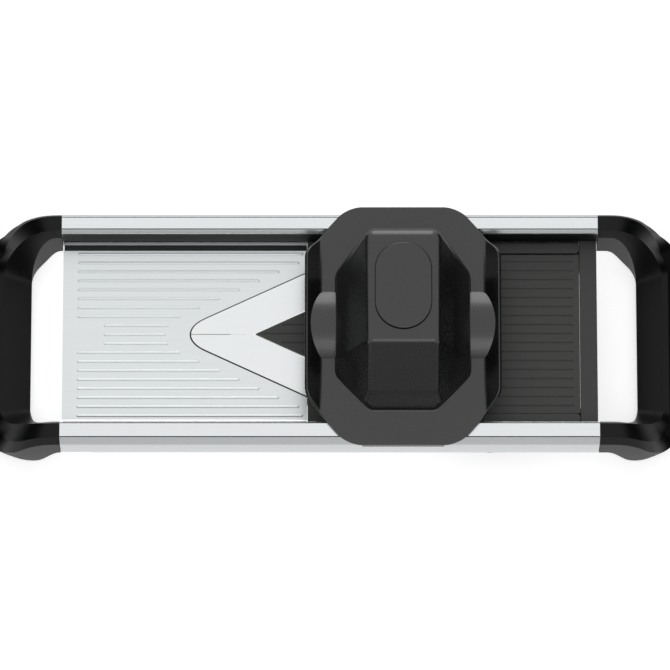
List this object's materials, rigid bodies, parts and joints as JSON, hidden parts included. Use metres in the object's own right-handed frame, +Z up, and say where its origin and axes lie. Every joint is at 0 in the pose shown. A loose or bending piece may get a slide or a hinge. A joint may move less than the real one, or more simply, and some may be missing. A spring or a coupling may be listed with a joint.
{
  "type": "vegetable slicer",
  "caption": "Mandoline slicer: ribbed steel deck, V-shaped blade, height-set run-in plate between metal rails, U-shaped leg handles and a sliding food guard with a push-down piston.",
  "frame": {"origin": "middle of the footprint, on the table that the foot pads stand on", "axes": "+X towards the run-in end, along the rails; +Y to the rear, where the thickness dial is; +Z up"},
  "size_m": [0.4166, 0.144, 0.088],
  "materials": {
    "polished_aluminium": "polished, with fine lengthwise drawing lines",
    "pressed_steel": "satin brushed stainless sheet",
    "blade_steel": "fine ground stainless",
    "screw_steel": "turned stainless",
    "black_moulding": "fine satin moulded",
    "plate_moulding": "matt moulded, slightly lighter",
    "cam_moulding": "natural grey acetal",
    "rubber": "matt rubber"
  },
  "bodies": {
    "frame": {"rail_rear": "polished_aluminium", "rail_front": "polished_aluminium", "handle_left": "black_moulding", "handle_right": "black_moulding", "foot_pad_left_rear": "rubber", "foot_pad_left_front": "rubber", "foot_pad_right_rear": "rubber", "foot_pad_right_front": "rubber", "handle_screw_left_rear": "screw_steel", "handle_screw_left_front": "screw_steel", "handle_screw_right_rear": "screw_steel", "handle_screw_right_front": "screw_steel", "run_out_deck": "pressed_steel", "deck_crossbar": "pressed_steel", "blade_rear": "blade_steel", "blade_front": "blade_steel", "blade_carrier": "plate_moulding", "end_bridge": "plate_moulding", "carrier_screw_inner_rear": "screw_steel", "carrier_screw_inner_front": "screw_steel", "carrier_screw_outer_rear": "screw_steel", "carrier_screw_outer_front": "screw_steel", "bridge_screw_rear": "screw_steel", "bridge_screw_front": "screw_steel", "cheek_rear": "plate_moulding", "cheek_front": "plate_moulding", "cheek_screw_rear_1": "screw_steel", "cheek_screw_rear_2": "screw_steel", "cheek_screw_front_1": "screw_steel", "cheek_screw_front_2": "screw_steel"},
    "plate": {"run_in_plate": "plate_moulding"},
    "cams": {"cam_shaft": "screw_steel", "cam_rear": "cam_moulding", "cam_front": "cam_moulding", "thickness_dial": "black_moulding", "dial_screw": "screw_steel"},
    "guard": {"guard_shell": "black_moulding"},
    "pusher": {"pusher_piston": "black_moulding", "pusher_plate": "black_moulding", "prong_comb": "blade_steel", "pusher_screw": "screw_steel"}
  },
  "joints": [
    {"name": "dial_turn", "type": "hinge", "parent": "frame", "child": "cams", "pos_m": [0.09241, 0, 0.0173], "axis": [0, 1, 0], "range_deg": [0, 270]},
    {"name": "plate_lower", "type": "slide", "parent": "frame", "child": "plate", "axis": [0, 0, -1], "range_m": [0, 0.0083]},
    {"name": "guard_slide", "type": "slide", "parent": "frame", "child": "guard", "axis": [1, 0, 0], "range_m": [-0.135, 0.05]},
    {"name": "pusher_lift", "type": "slide", "parent": "guard", "child": "pusher", "axis": [0, 0, 1], "range_m": [0, 0.026]}
  ],
  "couplings": [
    {"joint": "dial_turn", "follows": "plate_lower", "rad_per_m": 567.76}
  ]
}
